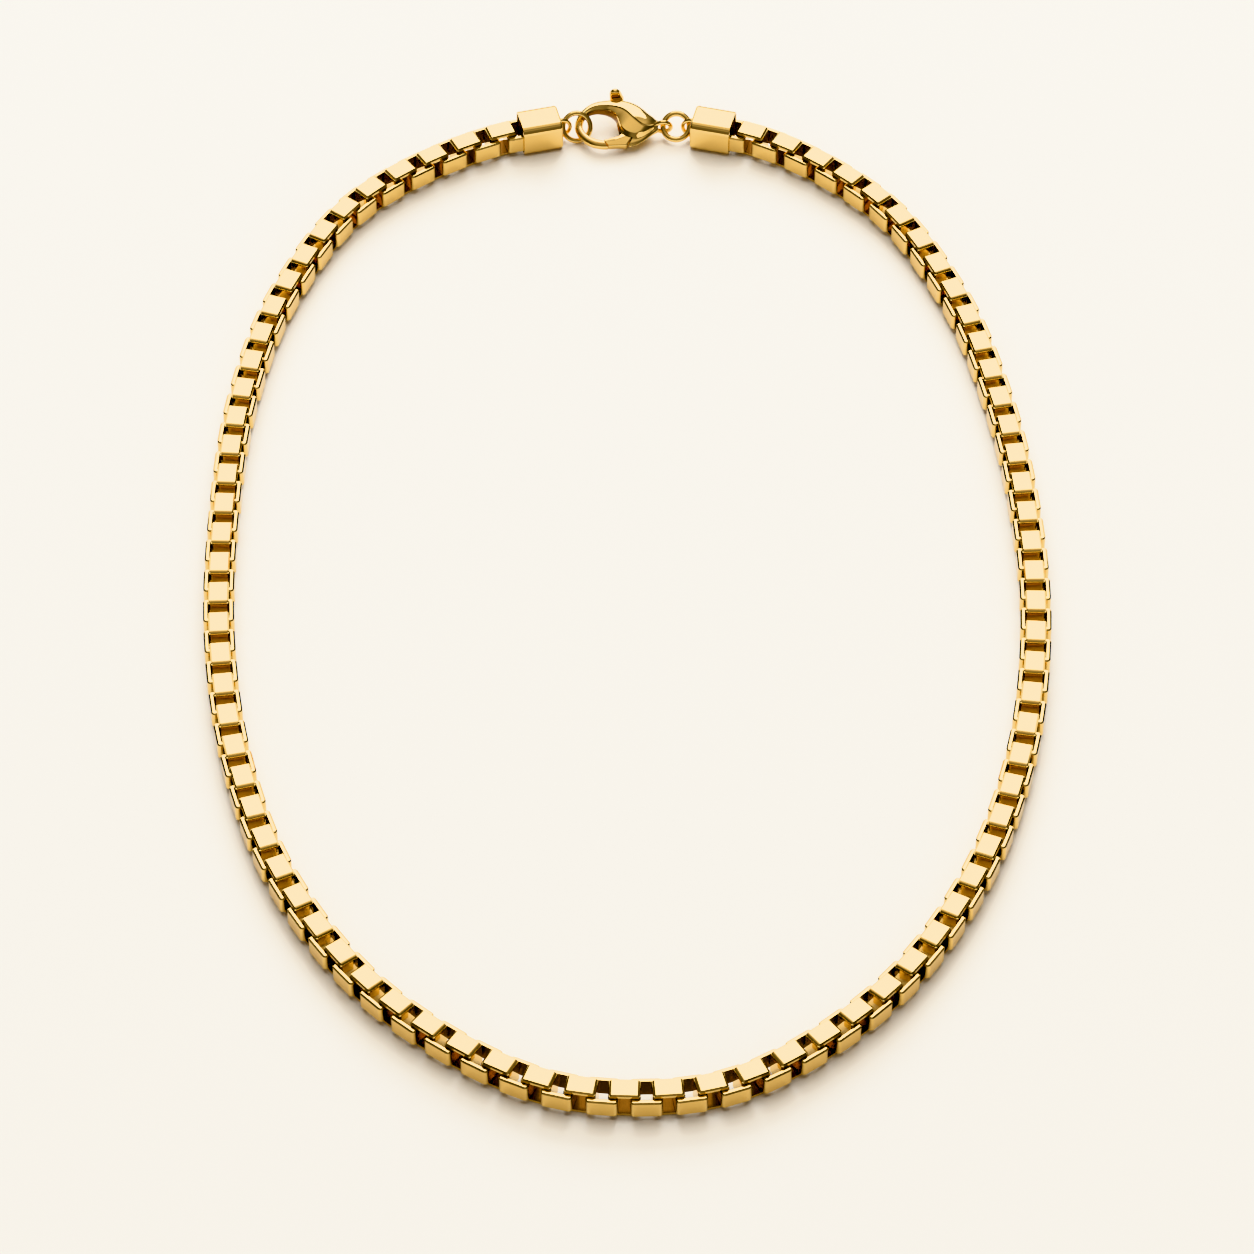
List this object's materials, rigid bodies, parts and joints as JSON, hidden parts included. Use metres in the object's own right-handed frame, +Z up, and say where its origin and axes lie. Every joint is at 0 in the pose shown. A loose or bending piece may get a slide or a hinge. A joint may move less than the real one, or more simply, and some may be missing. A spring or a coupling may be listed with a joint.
{
  "type": "box chain necklace",
  "caption": "Gold box chain necklace laid flat as a closed loop, with square end caps, connecting rings and a lobster clasp whose lever opens.",
  "frame": {"origin": "middle of the loop's outer box, on the surface that the necklace lies on", "axes": "+Y from the lowest link towards the clasp, +Z up from the surface, +X towards the clasp's eye side"},
  "size_m": [0.1374, 0.222, 0.0062],
  "materials": {
    "chain_gold": "polished yellow gold",
    "cap_gold": "polished yellow gold",
    "ring_gold": "polished yellow gold",
    "clasp_gold": "mirror polished yellow gold"
  },
  "bodies": {
    "necklace": {"chain_left": "chain_gold", "chain_right": "chain_gold", "end_cap_left": "cap_gold", "end_cap_right": "cap_gold", "ring_left": "ring_gold", "ring_right": "ring_gold", "clasp_body": "clasp_gold", "lever_pin": "clasp_gold"},
    "lever": {"clasp_lever": "clasp_gold"}
  },
  "joints": [
    {"name": "lever_hinge", "type": "hinge", "parent": "necklace", "child": "lever", "pos_m": [0.0014, 0.10407, 0.00225], "axis": [0, 0.1736, -0.9848], "range_deg": [0, 30], "stiffness_Nm_per_rad": 0.0005, "springref_deg": -20.05}
  ]
}
